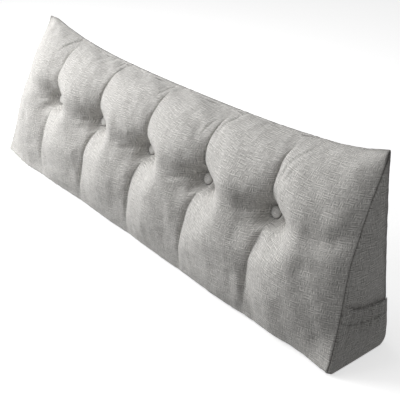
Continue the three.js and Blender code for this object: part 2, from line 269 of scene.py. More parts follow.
def seated(depth, x, z):
    """The front's depth where it is held down under the buttons, with a soft edge to each seat."""
    for along, height, tip, _, _ in zip(*BUTTONS.values()):
        sideways = x - along
        stretch = mix(1, SEAT_STRETCH, ease(*SEAT_TURN, sideways))
        past = np.maximum(np.hypot(sideways / stretch, z - height) - SEAT_RADIUS, 0)
        floor = tip - BUTTON_HEIGHT + SEAT_BITE
        seat = floor + SEAT_SLOPE * past + SEAT_CURVE * past**2
        depth = -SEAT_BLEND * np.logaddexp(-depth / SEAT_BLEND, -seat / SEAT_BLEND)
        depth = mix(floor, depth, ease(0, SEAT_EDGE, past))
    return depth


def front_depth(lobe, up):
    """Depth of the tufted front; lobe runs from -1 at the left end seam to LOBES + 1."""
    across = np.clip(np.where(lobe < 0, -lobe, lobe - LOBES), 0, 1)
    waist = WAIST_DEPTH * mix(1, END_WAIST, ease(0, 0.5, across))
    smooth_crown = front_crown(up)
    crown = smooth_crown - waist * bell(up - BUTTON_ROW_HEIGHT, WAIST_REACH)
    channel = smooth_crown - CHANNEL_WAIST * bell(up - BUTTON_ROW_HEIGHT, WAIST_REACH)
    channel = channel - channel_depth(up)
    index = np.clip(np.floor(lobe), 0, LOBES - 1).astype(int)
    extra = np.array(LOBE_EXTRA)[index] * bell(up - EXTRA_HEIGHT, EXTRA_REACH)
    softness = mix(lobe_rise(up), lobe_fall(up), ease(0.3, 0.7, lobe - index))
    between = np.clip(np.sin(np.pi * (lobe - index)), 0, 1) ** softness
    inner = mix(channel, crown + extra, between)
    seam = front_seam(up)
    swell = np.where(lobe < 0, LEFT_SWELL, RIGHT_SWELL) * (crown - (channel + seam) / 2)
    softness = np.where(lobe < 0, lobe_fall(up) + LEFT_END_SOFTENING,
                        lobe_rise(up) + RIGHT_END_SOFTENING)
    fall = np.where(lobe < 0, LEFT_END_FALL, RIGHT_END_FALL)
    crown_place = np.where(lobe < 0, LEFT_CROWN_PLACE, RIGHT_CROWN_PLACE)
    outer = mix(channel, seam, across)
    outer = outer + swell * end_fullness(across, crown_place, softness, fall)
    return np.where((lobe >= 0) & (lobe <= LOBES), inner, outer)


def along_of(lobe, up):
    """Place along the cushion; the end lobes follow their seams."""
    across = np.where(lobe < 0, -lobe, lobe - LOBES)
    drawn_in = np.where(lobe < 0, left_draw_in(up), 0)
    reach = mix(LAST_BUTTON_X, end_seam(up) - drawn_in, across)
    inner = lobe * BUTTON_PITCH - LAST_BUTTON_X
    return np.where((lobe >= 0) & (lobe <= LOBES), inner, np.where(lobe < 0, -reach, reach))


def back_depth(x, up):
    return mix(back_middle(up), back_seam(up), (np.abs(x) / end_seam(up)) ** BACK_DRAW_POWER)


def gusset_bow(across, up):
    rise = np.sqrt(np.clip(np.sin(np.pi * up), 0, 1))
    return GUSSET_CROWN * np.clip(np.sin(np.pi * across), 0, 1) * rise


def unevenness(u, v, wavelength, seed, waves=28):
    """Soft hills and hollows of about one wavelength, of unit height, the same on each run."""
    lot = np.random.default_rng(seed)
    way = lot.uniform(0, 2 * np.pi, waves)
    pace = 2 * np.pi / (wavelength * lot.uniform(0.7, 1.6, waves))
    start = lot.uniform(0, 2 * np.pi, waves)
    total = np.zeros_like(u)
    for a, k, s in zip(way, pace, start):
        total += np.cos(k * (u * np.cos(a) + v * np.sin(a)) + s)
    return total / math.sqrt(waves / 2)


def pleats(x, z):
    """Narrow troughs with a ridge beside them, fanning out from the buttons."""
    relief = np.zeros_like(x)
    for button, way, length, depth, width, bend in zip(*PLEATS.values()):
        along = x - BUTTONS["along"][button]
        rise = z - BUTTONS["height"][button]
        c, s = math.cos(math.radians(way)), math.sin(math.radians(way))
        out = along * c + rise * s
        side = rise * c - along * s - bend * out * out
        fade = ease(12, 26, out) * (1 - ease(length * 0.35, length, out))
        spread = width * (1 + 0.6 * np.clip(out / length, 0, 1))
        relief += depth * fade * (0.55 * bell(side - 1.9 * spread, spread)
                                  + 0.35 * bell(side + 2.0 * spread, spread) - bell(side, spread))
    return relief


def creases(x, z):
    """Short troughs near the top edge, each along a bowed line, with a soft ridge beside it."""
    relief = np.zeros_like(x)
    for along, height, to_along, to_height, bow, depth, width in zip(*CREASES.values()):
        length = math.hypot(to_along - along, to_height - height)
        c, s = (to_along - along) / length, (to_height - height) / length
        out = (x - along) * c + (z - height) * s
        share = np.clip(out / length, 0, 1)
        side = (z - height) * c - (x - along) * s - bow * 4 * share * (1 - share)
        fade = ease(-6, length * 0.25, out) * (1 - ease(length * 0.75, length + 6, out))
        relief += depth * fade * (0.5 * bell(side - 2 * width, width) - bell(side, width))
    return relief


class Cover:
    """The closed cover as a box of lines: stations along it, columns through its depth and rows up it."""

    def __init__(self, stations, columns, rows):
        self.stations = np.array(stations, float)
        self.columns = np.array(columns, float)
        self.rows = np.array(rows, float)
        shape = (len(stations), len(columns), len(rows))
        skin = np.zeros(shape, bool)
        skin[[0, -1], :, :] = True
        skin[:, [0, -1], :] = True
        skin[:, :, [0, -1]] = True
        self.number = np.full(shape, -1)
        self.number[skin] = np.arange(skin.sum())
        self.i, self.j, self.k = np.nonzero(skin)
        self.points = self.shape_of()
        n = self.number
        self.panels = {
            "front": (n[:, 0, :], False),
            "back": (n[:, -1, :], True),
            "right_gusset": (n[-1, :, :], False),
            "left_gusset": (n[0, :, :], True),
            "top": (n[:, :, -1], False),
            "base": (n[:, :, 0], True),
        }
        self.quads = np.concatenate([self.quads_of(*panel) for panel in self.panels.values()])

    def shape_of(self):
        lobe = self.stations[self.i]
        across = self.columns[self.j]
        up = self.rows[self.k]
        x = along_of(lobe, up)
        z = up * top_edge(x)
        foot = foot_edge(x) * np.exp(-up / FOOT_REACH)
        front = seated(front_depth(lobe, up) + foot - dimple(x, z), x, z)
        depth = mix(front, back_depth(x, up), across)
        at_end = (self.i == 0) | (self.i == len(self.stations) - 1)
        x = x + np.where(at_end, np.sign(x) * gusset_bow(across, up), 0)
        inner_top = self.k == len(self.rows) - 1
        ends = 1 - (np.abs(x) / BASE_HALF_LENGTH) ** 12
        z = z + np.where(inner_top, TOP_CROWN * np.sin(np.pi * across) * ends, 0)
        return np.stack([x, BASE_MIDDLE_DEPTH - depth, z], -1)

    @staticmethod
    def quads_of(grid, turned):
        a, b = grid[:-1, :-1].ravel(), grid[1:, :-1].ravel()
        c, d = grid[1:, 1:].ravel(), grid[:-1, 1:].ravel()
        return np.stack([a, d, c, b] if turned else [a, b, c, d], -1)

    def normals(self):
        return normals_of(self.points, self.quads)

    def seam_distance(self, *names):
        """How far each point is from the nearest sewn edge of these names, or of all."""
        n, last = self.number, tuple(size - 1 for size in self.number.shape)
        seams = {
            "front_ends": [n[0, 0, self.k], n[last[0], 0, self.k]],
            "back_ends": [n[0, last[1], self.k], n[last[0], last[1], self.k]],
            "back_top": [n[self.i, last[1], last[2]]],
            "foot": [n[self.i, 0, 0], n[self.i, last[1], 0], n[0, self.j, 0], n[last[0], self.j, 0]],
            "ears": [n[0, self.j, last[2]], n[last[0], self.j, last[2]]],
        }
        edges = [edge for name in names or seams for edge in seams[name]]
        gaps = [np.linalg.norm(self.points - self.points[edge], axis=1) for edge in edges]
        return np.min(gaps, axis=0)

    def smoothed(self, values, amount, rounds):
        """Values at the points, each moved towards the mean of its neighbours by its own amount."""
        a = self.quads.ravel()
        b = np.roll(self.quads, -1, axis=1).ravel()
        count = np.bincount(a, minlength=len(self.points)) + np.bincount(b, minlength=len(self.points))
        for _ in range(rounds):
            mean = np.stack([
                np.bincount(a, values[b, axis], len(values))
                + np.bincount(b, values[a, axis], len(values))
                for axis in range(3)
            ], -1) / count[:, None]
            values = mix(values, mean, amount[:, None])
        return values


def normals_of(points, quads):
    """The way that the surface faces at each point."""
    a, b, c, d = (points[quads[:, corner]] for corner in range(4))
    face = np.cross(c - a, d - b)
    total = np.stack([
        np.bincount(quads.ravel(), np.repeat(face[:, axis], 4), len(points)) for axis in range(3)
    ], -1)
    return total / np.maximum(np.linalg.norm(total, axis=1, keepdims=True), 1e-12)


def spaced(stops, steps):
    """Places between stops, with about the given step in each stretch."""
    places = [stops[0]]
    for start, end, step in zip(stops[:-1], stops[1:], steps):
        count = max(1, round((end - start) / step))
        places += list(start + (end - start) * np.arange(1, count + 1) / count)
    return places


# Where the lines of the fine cover run beside a seam
SEAM_LINES = [0, 1.3, 2.8, 4.6, 7, 10, 14]


def cover_lines(fine):
    """Stations, columns and rows: close together at seams, buttons and channels."""
    k = 1 if fine else 2.2
    lobe = spaced([0, 12, 60, 190, 238, 250], [2 * k, 3.6 * k, 7 * k, 3.6 * k, 2 * k])
    inner = [i + place / BUTTON_PITCH for i in range(LOBES) for place in lobe[:-1]] + [LOBES]
    end_length = BASE_HALF_LENGTH - END_LEAN / 2 - LAST_BUTTON_X
    seam = SEAM_LINES if fine else [0, 7, 14]
    reach = spaced([0, 12, 60, end_length - 14], [2 * k, 3.6 * k, 7 * k])
    reach = np.array(reach + [end_length - place for place in seam[-2::-1]]) / end_length
    stations = np.concatenate([-reach[::-1], inner[1:-1], LOBES + reach])
    height = 430
    rows = spaced([14, 190, 315, 400, height - 14], [7 * k, 3.6 * k, 4.2 * k, 3.2 * k])
    rows = seam[:-1] + rows + [height - place for place in seam[-2::-1]]
    columns = seam[:-1] + spaced([14, 146], [13 * k]) + [160 - place for place in seam[-2::-1]]
    return stations, np.array(columns) / 160, np.array(rows) / height


def in_scene(name, data):
    """A new object with this mesh, light or camera, shown in the scene."""
    thing = bpy.data.objects.new(name, data)
    bpy.context.scene.collection.objects.link(thing)
    return thing


# How many steps the cloth takes to settle over its filling, and the farthest that a point may move
SETTLING_STEPS = 20
FARTHEST_MOVE = 6


def settled(cover):
    """Where the cloth of a coarse cover goes when the filling presses on it, held at its seams,
    its base and its buttons. It is a little longer than its space, so it folds."""
    hold = 0.3 + 0.7 * bell(cover.seam_distance(), 18)
    on_base_or_back = (cover.k == 0) | (cover.j == len(cover.columns) - 1)
    hold = np.where(on_base_or_back, 1, hold)
    for along, height in zip(BUTTONS["along"], BUTTONS["height"]):
        near = np.hypot(cover.points[:, 0] - along, cover.points[:, 2] - height)
        hold = np.maximum(hold, (1 - ease(20, 34, near)) * (cover.j == 0))
    mesh = bpy.data.meshes.new("trial_cover")
    mesh.from_pydata((cover.points * MM).tolist(), [], cover.quads.tolist())
    piece = in_scene("trial_cover", mesh)
    group = piece.vertex_groups.new(name="hold")
    for index, weight in enumerate(hold.tolist()):
        group.add([index], weight, "REPLACE")
    cloth = piece.modifiers.new("cloth", "CLOTH")
    settings = cloth.settings
    settings.quality = 5
    settings.mass = 0.15
    settings.tension_stiffness = 20
    settings.compression_stiffness = 20
    settings.shear_stiffness = 8
    settings.bending_stiffness = 6
    settings.vertex_group_mass = "hold"
    settings.pin_stiffness = 0.6
    settings.use_pressure = True
    settings.uniform_pressure_force = 2
    settings.shrink_min = -0.02
    settings.effector_weights.gravity = 0
    cloth.collision_settings.use_collision = False
    cloth.point_cache.frame_start = 1
    cloth.point_cache.frame_end = SETTLING_STEPS
    for step in range(1, SETTLING_STEPS + 1):
        bpy.context.scene.frame_set(step)
    shown = piece.evaluated_get(bpy.context.evaluated_depsgraph_get())
    moved = np.empty(len(cover.points) * 3)
    shown.data.vertices.foreach_get("co", moved)
    bpy.context.scene.frame_set(1)
    bpy.data.objects.remove(piece)
    bpy.data.meshes.remove(mesh)
    return moved.reshape(-1, 3) / MM - cover.points


def carried_over(coarse, moves, fine):
    """The coarse cover's moves at the fine cover's points, panel by panel."""
    result = np.zeros_like(fine.points)
    lines = {"front": ("stations", "rows"), "back": ("stations", "rows"),
             "top": ("stations", "columns"), "base": ("stations", "columns")}
    for name, (grid, _) in coarse.panels.items():
        first, second = lines.get(name, ("columns", "rows"))
        values = moves[grid]
        for axis in range(3):
            rough = values[:, :, axis]
            half = np.stack([np.interp(getattr(fine, first), getattr(coarse, first), rough[:, c])
                             for c in range(rough.shape[1])], 1)
            full = np.stack([np.interp(getattr(fine, second), getattr(coarse, second), half[r])
                             for r in range(half.shape[0])], 0)
            result[fine.panels[name][0], axis] = full
    return result


def make_mesh(name, points, faces, corners):
    """A smooth-shaded piece of cloth: points in millimetres, a UV place in metres for each corner."""
    mesh = bpy.data.meshes.new(name)
    mesh.from_pydata((points * MM).tolist(), [], faces)
    layer = mesh.uv_layers.new(name="cloth")
    layer.data.foreach_set("uv", np.ascontiguousarray(corners, np.float32).ravel())
    mesh.polygons.foreach_set("use_smooth", np.ones(len(mesh.polygons), bool))
    mesh.update()
    return in_scene(name, mesh)


def store_painted_shade(piece, shade):
    """Gives each point of a piece how much painted shade darkens its cloth there, at seams, button rims
    and gathers, 0 to 1.
    """
    layer = piece.data.attributes.new("painted_shade", "FLOAT", "POINT")
    layer.data.foreach_set("value", shade.astype(np.float32))


def corner_places(u, v, turned):
    """UV places of a panel's quads, in the order of its corners."""
    a, b = (slice(None, -1), slice(None, -1)), (slice(1, None), slice(None, -1))
    c, d = (slice(1, None), slice(1, None)), (slice(None, -1), slice(1, None))
    order = [a, d, c, b] if turned else [a, b, c, d]
    return np.stack([np.stack([u[s].ravel(), v[s].ravel()], -1) for s in order], 1) * MM


def running_length(steps, axis):
    start = np.zeros_like(np.take(steps, [0], axis))
    return np.concatenate([start, np.cumsum(steps, axis)], axis)


def cover_corners(cover):
    """The weave lies on the front as the flat panel did: straight up it and along it."""
    p = cover.points
    parts = []
    spans = {"right_gusset": (1, 2, 3000), "left_gusset": (1, 2, 5000), "back": (0, 2, 7000),
             "base": (0, 1, 9000)}
    front = cover.panels["front"][0]
    along = np.linalg.norm(np.diff(p[front], axis=0), axis=2).mean(1, keepdims=True)
    upward = np.linalg.norm(np.diff(p[front], axis=1), axis=2).mean(0, keepdims=True)
    u_front = running_length(np.repeat(along, front.shape[1], 1), 0)
    v_front = running_length(np.repeat(upward, front.shape[0], 0), 1)
    v_front = v_front * top_edge(p[front][:, :, 0]) / TOP_EDGE["top"][11]
    for name, (grid, turned) in cover.panels.items():
        if name == "front":
            u, v = u_front, v_front
        elif name == "top":
            u = np.repeat(u_front[:, -1:], grid.shape[1], 1)
            v = v_front[:, -1:] + running_length(np.linalg.norm(np.diff(p[grid], axis=1), axis=2), 1)
        else:
            first, second, away = spans[name]
            u, v = p[grid][:, :, first] + away, p[grid][:, :, second]
        parts.append(corner_places(u, v, turned))
    return np.concatenate(parts)


def button_frame(index):
    """A button's tip, the way it faces, and the ways along and up its face."""
    facing = np.array([0, -math.cos(BUTTON_TILT), math.sin(BUTTON_TILT)])
    tip = np.array([BUTTONS["along"][index], BASE_MIDDLE_DEPTH - BUTTONS["depth"][index],
                    BUTTONS["height"][index]], float)
    upward = np.array([0, math.sin(BUTTON_TILT), math.cos(BUTTON_TILT)])
    return tip, facing, np.array([1.0, 0, 0]), upward


def seat_buttons(cover):
    """Draws the front cloth in under each button, gathered in small tucks around its rim."""
    on_front = cover.j == 0
    for index in range(len(BUTTONS["along"])):
        tip, facing, along, upward = button_frame(index)
        away = cover.points - tip
        out = away @ facing
        u, v = away @ along, away @ upward
        radius = np.hypot(u, v)
        turn = np.arctan2(v, u)
        seat = -BUTTON_HEIGHT - 1.0
        tucks = 0.9 * np.cos(13 * turn + index) + 0.5 * np.cos(7 * turn + 2 * index)
        rim = BUTTON_RADIUS + 0.9
        wall = seat + 3.5 * ease(rim, rim + 2.5, radius) + np.maximum(radius - rim - 1, 0) * 0.85
        wall += tucks * bell(radius - rim - 7, 6)
        share = (1 - ease(rim + 3, rim + 18, radius)) * (np.abs(out) < 60) * on_front
        change = (np.minimum(wall, seat + 16) - out) * share
        cover.points += change[:, None] * facing


def painted_shade(cover):
    """Painted shade, 0 to 1: the dark thread with painted shadow along the end seams, and painted shadow
    along the back seams and around each button's rim.
    """
    front = cover.seam_distance("front_ends")
    back = cover.seam_distance("back_ends", "back_top")
    low = 1 - ease(190, 260, cover.points[:, 2])
    # a second line of painted shade beside the front seams, low down
    second = 0.55 * bell(front - 7.5, 1.4) * (cover.j > 0) * low
    # a painted gap shadow in a ring around each button on the front
    painted_rim_shadows = np.zeros_like(front)
    for index in range(len(BUTTONS["along"])):
        tip, _, along, upward = button_frame(index)
        away = cover.points - tip
        past = np.hypot(away @ along, away @ upward) - BUTTON_RADIUS
        painted_rim_shadows = np.maximum(painted_rim_shadows, (1 - ease(0, 4, past)) * (cover.j == 0))
    # at the front end seams the dark line is partly thread and partly painted shadow; the wider band at
    # the back seams is painted shadow
    return np.clip(bell(front, 1.7) + second + bell(back, 9) + painted_rim_shadows, 0, 1)


def make_cushion():
    cover = Cover(*cover_lines(True))
    coarse = Cover(*cover_lines(False))
    moves = settled(coarse)
    moves *= ease(15, 100, coarse.points[:, 2:])
    far = np.maximum(np.linalg.norm(moves, axis=1, keepdims=True), 1e-6)
    moves *= np.minimum(1, FARTHEST_MOVE / far)
    moves = coarse.smoothed(moves, np.full(len(moves), 0.6), 3)
    cover.points += carried_over(coarse, moves, cover)
    seam = cover.seam_distance()
    ends = cover.seam_distance("front_ends", "back_ends")
    normals = cover.normals()
    x, y, z = cover.points.T
    free = ease(3, 40, seam)
    relief = np.where(cover.j == 0, pleats(x, z) + creases(x, z), 0)
    relief += 1.3 * unevenness(x + y, z + y, 120, 3) * free
    relief += 0.5 * unevenness(x + 0.5 * y, z - y, 42, 11) * free
    relief += unevenness(x, z + y, 22, 29) * bell(seam - 9, 8) * 0.55
    cover.points += relief[:, None] * normals
    cover.points = cover.smoothed(cover.points, 0.55 * bell(seam, 7), 3)
    normals = cover.normals()
    groove = -3.0 * bell(ends, 2.0) + 0.5 * bell(ends - 6, 3.6)
    cover.points += groove[:, None] * normals
    seat_buttons(cover)
    cover.points[:, 2] = np.where(cover.k == 0, np.clip(cover.points[:, 2], 0, 0.5),
                                  np.maximum(cover.points[:, 2], 0.2))
    piece = make_mesh("filled_cushion", cover.points, cover.quads.tolist(), cover_corners(cover))
    store_painted_shade(piece, painted_shade(cover))
    return piece


def grid_quads(rows, columns, closed):
    """Quads of a grid of rows by columns, whose columns may run round and meet."""
    r, c = np.meshgrid(np.arange(rows - 1), np.arange(columns if closed else columns - 1),
                       indexing="ij")
    r, c = r.ravel(), c.ravel()
    right = (c + 1) % columns
    return np.stack([r * columns + c, r * columns + right, (r + 1) * columns + right,
                     (r + 1) * columns + c], -1)


def make_button(index):
    """A covered button: cloth drawn over a dome and gathered in behind its rim."""
    sides = 56
    profile = [(0.0, 0.0), (7, 0), (11.5, 0.15), (13.6, 0.9), (14.7, 2.0), (15.0, 3.2)]
    for step in range(1, 12):
        angle = math.pi / 2 * step / 12
        profile.append((15 * math.cos(angle) ** 0.92, 3.2 + 7.6 * math.sin(angle) ** 0.95))
    profile.append((0.0, 10.9))
    tip, facing, along, upward = button_frame(index)
    turn = 2 * np.pi * np.arange(sides) / sides
    points, flat = [], []
    for radius, rise in profile[1:-1]:
        gather = 0.22 * np.cos(18 * turn) * bell(rise - 1.6, 1.8)
        reach = radius + gather
        centre = tip + facing * (rise - BUTTON_HEIGHT)
        points.append(centre + np.outer(reach * np.cos(turn), along)
                      + np.outer(reach * np.sin(turn), upward))
        slope = radius * (1 + 0.25 * (radius / BUTTON_RADIUS) ** 4)
        flat.append(np.stack([slope * np.cos(turn), slope * np.sin(turn)], -1))
    points, flat = np.concatenate(points), np.concatenate(flat)
    rings = len(profile) - 2
    quads = grid_quads(rings, sides, True)
    poles = np.stack([tip + facing * (profile[0][1] - BUTTON_HEIGHT),
                      tip + facing * (profile[-1][1] - BUTTON_HEIGHT)])
    count = len(points)
    points = np.concatenate([points, poles])
    flat = np.concatenate([flat, np.zeros((2, 2))]) + 40 * index + 12000
    faces = quads.tolist()
    for side in range(sides):
        after = (side + 1) % sides
        faces.append([after, side, count])
        faces.append([(rings - 1) * sides + side, (rings - 1) * sides + after, count + 1])
    order = np.concatenate([np.array(face) for face in faces])
    return make_mesh(f"covered_button_{index + 1}", points, faces, flat[order] * MM)


def pocket_gathers(across):
    """Folds across the pocket, where its elastic gathers it: about -1 in a trough, 1 on a ridge."""
    wide = np.sin(2 * np.pi * (GATHER_COUNT * across + 0.25 * np.sin(9 * across)))
    return (wide + 0.45 * np.sin(2 * np.pi * 17 * across + 1.1)) / 1.3


def pocket_hold(below):
    """How much of the gathers is left at a distance below the mouth."""
    held = 0.6 + 0.4 * bell(below - CASING_HEIGHT, 9)
    return np.where(below < CASING_HEIGHT, held, np.exp(-(below - CASING_HEIGHT) / 30))


def pocket_surface(across, rise, lift=0.0):
    """The middle of the pocket's cloth, gathered by the elastic in its casing."""
    mouth = pocket_mouth(across)
    scallop = np.sin(2 * np.pi * GATHER_COUNT * across + 0.6) * np.sin(np.pi * across)
    scallop = MOUTH_SCALLOP * scallop
    z = mix(POCKET_FOOT, mouth + scallop * ease(0.8, 1, rise), rise)
    up = z / top_edge(BASE_HALF_LENGTH)
    front = front_seam(up) - POCKET_SEAM_INSET
    back = back_seam(up) + POCKET_SEAM_INSET
    depth = mix(front, back, across)
    gusset_across = (front_seam(up) - depth) / (front_seam(up) - back_seam(up))
    gusset = end_seam(up) + gusset_bow(gusset_across, up)
    middle = np.clip(np.sin(np.pi * across), 0, 1)
    bag = POCKET_BAG * np.sqrt(middle) * rise
    below = mouth - z
    relief = GATHER_DEPTH * pocket_gathers(across) * pocket_hold(below)
    relief = relief - CASING_PINCH * bell(below - CASING_HEIGHT, 3.0)
    out = np.maximum(bag + relief * middle * ease(0.1, 0.5, rise), 0)
    return np.stack([gusset + POCKET_STAND + out + lift, BASE_MIDDLE_DEPTH - depth, z], -1)


def make_pocket():
    """One thin cloth with a folded casing at its mouth, thicker there than below."""
    columns, rows = 170, 58
    across, rise = np.meshgrid(np.linspace(0, 1, columns), np.linspace(0, 1, rows), indexing="ij")
    middle = pocket_surface(across, rise)
    du, dv = np.gradient(middle, axis=0), np.gradient(middle, axis=1)
    normal = np.cross(du, dv)
    normal /= np.linalg.norm(normal, axis=2, keepdims=True)
    below = pocket_mouth(across) - middle[:, :, 2]
    half = 0.55 + 0.55 * (1 - ease(CASING_HEIGHT - 3, CASING_HEIGHT, below)) * ease(0, 2.5, below)
    outer, inner = middle + normal * half[:, :, None], middle - normal * half[:, :, None] * 0.6
    points = np.concatenate([outer.reshape(-1, 3), inner.reshape(-1, 3)])
    n = np.arange(columns * rows).reshape(columns, rows)
    m = n + columns * rows
    width = running_length(np.linalg.norm(du[:-1], axis=2), 0)
    length = running_length(np.linalg.norm(dv[:, :-1], axis=2), 1)
    u, v = width + 15000, length
    quads = [Cover.quads_of(n, False), Cover.quads_of(m, True)]
    corners = [corner_places(u, v, False), corner_places(u, v, True)]
    for a, b, edge_u, edge_v in (
        (n[:, 0], m[:, 0], u[:, 0], v[:, 0]),
        (m[:, -1], n[:, -1], u[:, -1], v[:, -1]),
        (m[0], n[0], u[0], v[0]),
        (n[-1], m[-1], u[-1], v[-1]),
    ):
        grid = np.stack([b, a], -1)
        quads.append(Cover.quads_of(grid, False))
        corners.append(corner_places(np.stack([edge_u, edge_u], -1),
                                     np.stack([edge_v, edge_v + 1], -1), False))
    quads, corners = np.concatenate(quads).tolist(), np.concatenate(corners)
    piece = make_mesh("gathered_pocket", points, quads, corners)
    # Painted shade: darker in the troughs of the gathers, and in a line along the casing's lower edge and
    # just under the mouth
    gather_shade = 0.5 * ease(0.25, 1, -pocket_gathers(across)) * pocket_hold(below) * ease(0, 0.1, across)
    edge_shade = 0.7 * bell(below - CASING_HEIGHT, 1.3) + 0.6 * bell(below - 1, 1.5)
    shade = np.clip(gather_shade + edge_shade, 0, 1).ravel()
    store_painted_shade(piece, np.concatenate([shade, shade]))
    return piece


def stitch_tree(thread):
    """Stitches laid end to end along an edge path, each a small rounded bar of thread."""
    tree = bpy.data.node_groups.new("casing_stitches", "GeometryNodeTree")
    face = tree.interface
    face.new_socket("Path", in_out="INPUT", socket_type="NodeSocketGeometry")
    sizes = {"Stitch Pitch": STITCH_PITCH, "Stitch Length": 0.0031, "Thread Width": 0.0009}
    for name, size in sizes.items():
        face.new_socket(name, in_out="INPUT", socket_type="NodeSocketFloat").default_value = size
    face.new_socket("Stitches", in_out="OUTPUT", socket_type="NodeSocketGeometry")
    nodes, links = tree.nodes, tree.links
    given, out = nodes.new("NodeGroupInput"), nodes.new("NodeGroupOutput")
    path = nodes.new("GeometryNodeMeshToCurve")
    spread = nodes.new("GeometryNodeCurveToPoints")
    spread.mode = "LENGTH"
    bar = nodes.new("GeometryNodeMeshUVSphere")
    bar.inputs["Segments"].default_value = 6
    bar.inputs["Rings"].default_value = 5
    bar.inputs["Radius"].default_value = 0.5
    size = nodes.new("ShaderNodeCombineXYZ")
    shaped = nodes.new("GeometryNodeTransform")
    placed = nodes.new("GeometryNodeInstanceOnPoints")
    real = nodes.new("GeometryNodeRealizeInstances")
    dressed = nodes.new("GeometryNodeSetMaterial")
    dressed.inputs["Material"].default_value = thread
    links.new(given.outputs["Path"], path.inputs[0])
    links.new(path.outputs[0], spread.inputs["Curve"])
    links.new(given.outputs["Stitch Pitch"], spread.inputs["Length"])
    links.new(given.outputs["Thread Width"], size.inputs["X"])
    links.new(given.outputs["Thread Width"], size.inputs["Y"])
    links.new(given.outputs["Stitch Length"], size.inputs["Z"])
    links.new(bar.outputs["Mesh"], shaped.inputs["Geometry"])
    links.new(size.outputs[0], shaped.inputs["Scale"])
    links.new(spread.outputs["Points"], placed.inputs["Points"])
    links.new(spread.outputs["Rotation"], placed.inputs["Rotation"])
    links.new(shaped.outputs[0], placed.inputs["Instance"])
    links.new(placed.outputs[0], real.inputs[0])
    links.new(real.outputs[0], dressed.inputs["Geometry"])
    links.new(dressed.outputs[0], out.inputs[0])
    return tree


def make_stitches(thread):
    """The row of stitches that closes the pocket's casing."""
    across = np.linspace(0.02, 0.98, 260)
    rise = 1 - (CASING_HEIGHT - 1) / (pocket_mouth(across) - POCKET_FOOT)
    path = pocket_surface(across, rise, lift=0.75)
    mesh = bpy.data.meshes.new("casing_path")
    steps = np.arange(len(path) - 1)
    mesh.from_pydata((path * MM).tolist(), np.stack([steps, steps + 1], -1).tolist(), [])
    guide = in_scene("casing_path", mesh)
    modifier = guide.modifiers.new("stitches", "NODES")
    tree = stitch_tree(thread)
    modifier.node_group = tree
    for item in tree.interface.items_tree:
        if item.item_type == "SOCKET" and item.in_out == "INPUT" and item.name == "Stitch Pitch":
            modifier[item.identifier] = STITCH_PITCH
    depsgraph = bpy.context.evaluated_depsgraph_get()
    row = bpy.data.meshes.new_from_object(guide.evaluated_get(depsgraph), depsgraph=depsgraph)
    row.name = "casing_stitches"
    bpy.data.objects.remove(guide)
    return in_scene("casing_stitches", row)


class Yarn:
    """A shader socket whose sums and products add Math nodes."""

    def __init__(self, loom, socket):
        self.loom = loom
        self.socket = socket

    def _math(self, operation, *values):
        return self.loom.add("ShaderNodeMath", {"operation": operation}, *values)

    def __add__(self, other):
        return self._math("ADD", self, other)

    def __radd__(self, other):
        return self._math("ADD", other, self)

    def __sub__(self, other):
        return self._math("SUBTRACT", self, other)

    def __rsub__(self, other):
        return self._math("SUBTRACT", other, self)

    def __mul__(self, other):
        return self._math("MULTIPLY", self, other)

    def __rmul__(self, other):
        return self._math("MULTIPLY", other, self)

    def sine(self):
        return self._math("SINE", self)

    def floor(self):
        return self._math("FLOOR", self)

    def at_least(self, other):
        return self._math("MAXIMUM", self, other)

    def at_most(self, other):
        return self._math("MINIMUM", self, other)


class Loom:
    """Adds nodes to one material."""

    def __init__(self, name):
        self.material = bpy.data.materials.new(name)
        self.material.use_nodes = True
        self.tree = self.material.node_tree
        self.shader = self.tree.nodes["Principled BSDF"]

    def add(self, kind, settings=None, *values, output=0, **named):
        """A node of this kind: its settings first, then its sockets in order or by name."""
        node = self.tree.nodes.new(kind)
        for name, value in (settings or {}).items():
            setattr(node, name, value)
        for place, value in list(enumerate(values)) + list(named.items()):
            self.fill(node.inputs[place], value)
        return Yarn(self, node.outputs[output])

    def fill(self, socket, value):
        if isinstance(value, Yarn):
            self.tree.links.new(value.socket, socket)
        else:
            socket.default_value = value

    def blend(self, share, first, second):
        """A colour that goes from the first to the second as share goes from 0 to 1."""
        mixed = self.add("ShaderNodeMix", {"data_type": "RGBA"}, share, output=2)
        for place, tone in ((6, first), (7, second)):
            self.fill(mixed.socket.node.inputs[place], tone if isinstance(tone, Yarn) else (*tone, 1))
        return mixed

    def feed(self, name, value):
        self.fill(self.shader.inputs[name], value)


# The weave, in metres: the pitch of its yarns and of its thick yarns
YARN_PITCH = 0.0016
SLUB_PITCH = 0.0022


